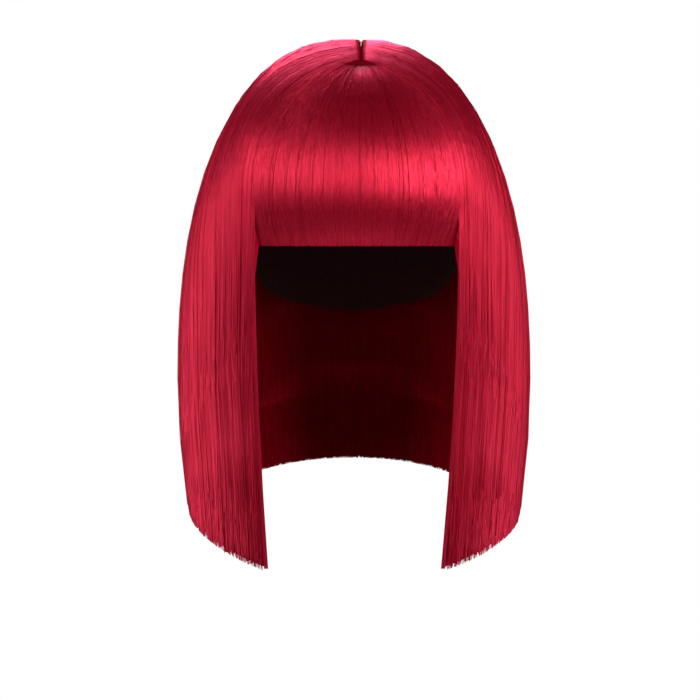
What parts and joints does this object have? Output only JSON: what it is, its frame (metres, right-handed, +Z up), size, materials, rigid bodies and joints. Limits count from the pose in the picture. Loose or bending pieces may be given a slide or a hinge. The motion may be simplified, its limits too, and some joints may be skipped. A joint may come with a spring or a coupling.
{
  "type": "bob wig",
  "caption": "Straight chin-to-shoulder bob wig with a blunt full fringe, a short parting and a hem longer in front.",
  "frame": {"origin": "highest point inside the cap, where the wig sits on the crown of the head", "axes": "+Z up; the face looks along -Y; +X is the wearer's left"},
  "size_m": [0.202, 0.2219, 0.294],
  "materials": {
    "hair": "glossy straight crimson synthetic fibre, combed smooth",
    "parting": "matt skin-toned parting strip",
    "cap": "matt dark elastic cap net"
  },
  "bodies": {
    "root": {"wig_cap": "cap", "parting": "parting", "bangs": "hair", "side_hair_left": "hair", "side_hair_right": "hair", "back_hair": "hair"}
  },
  "joints": []
}
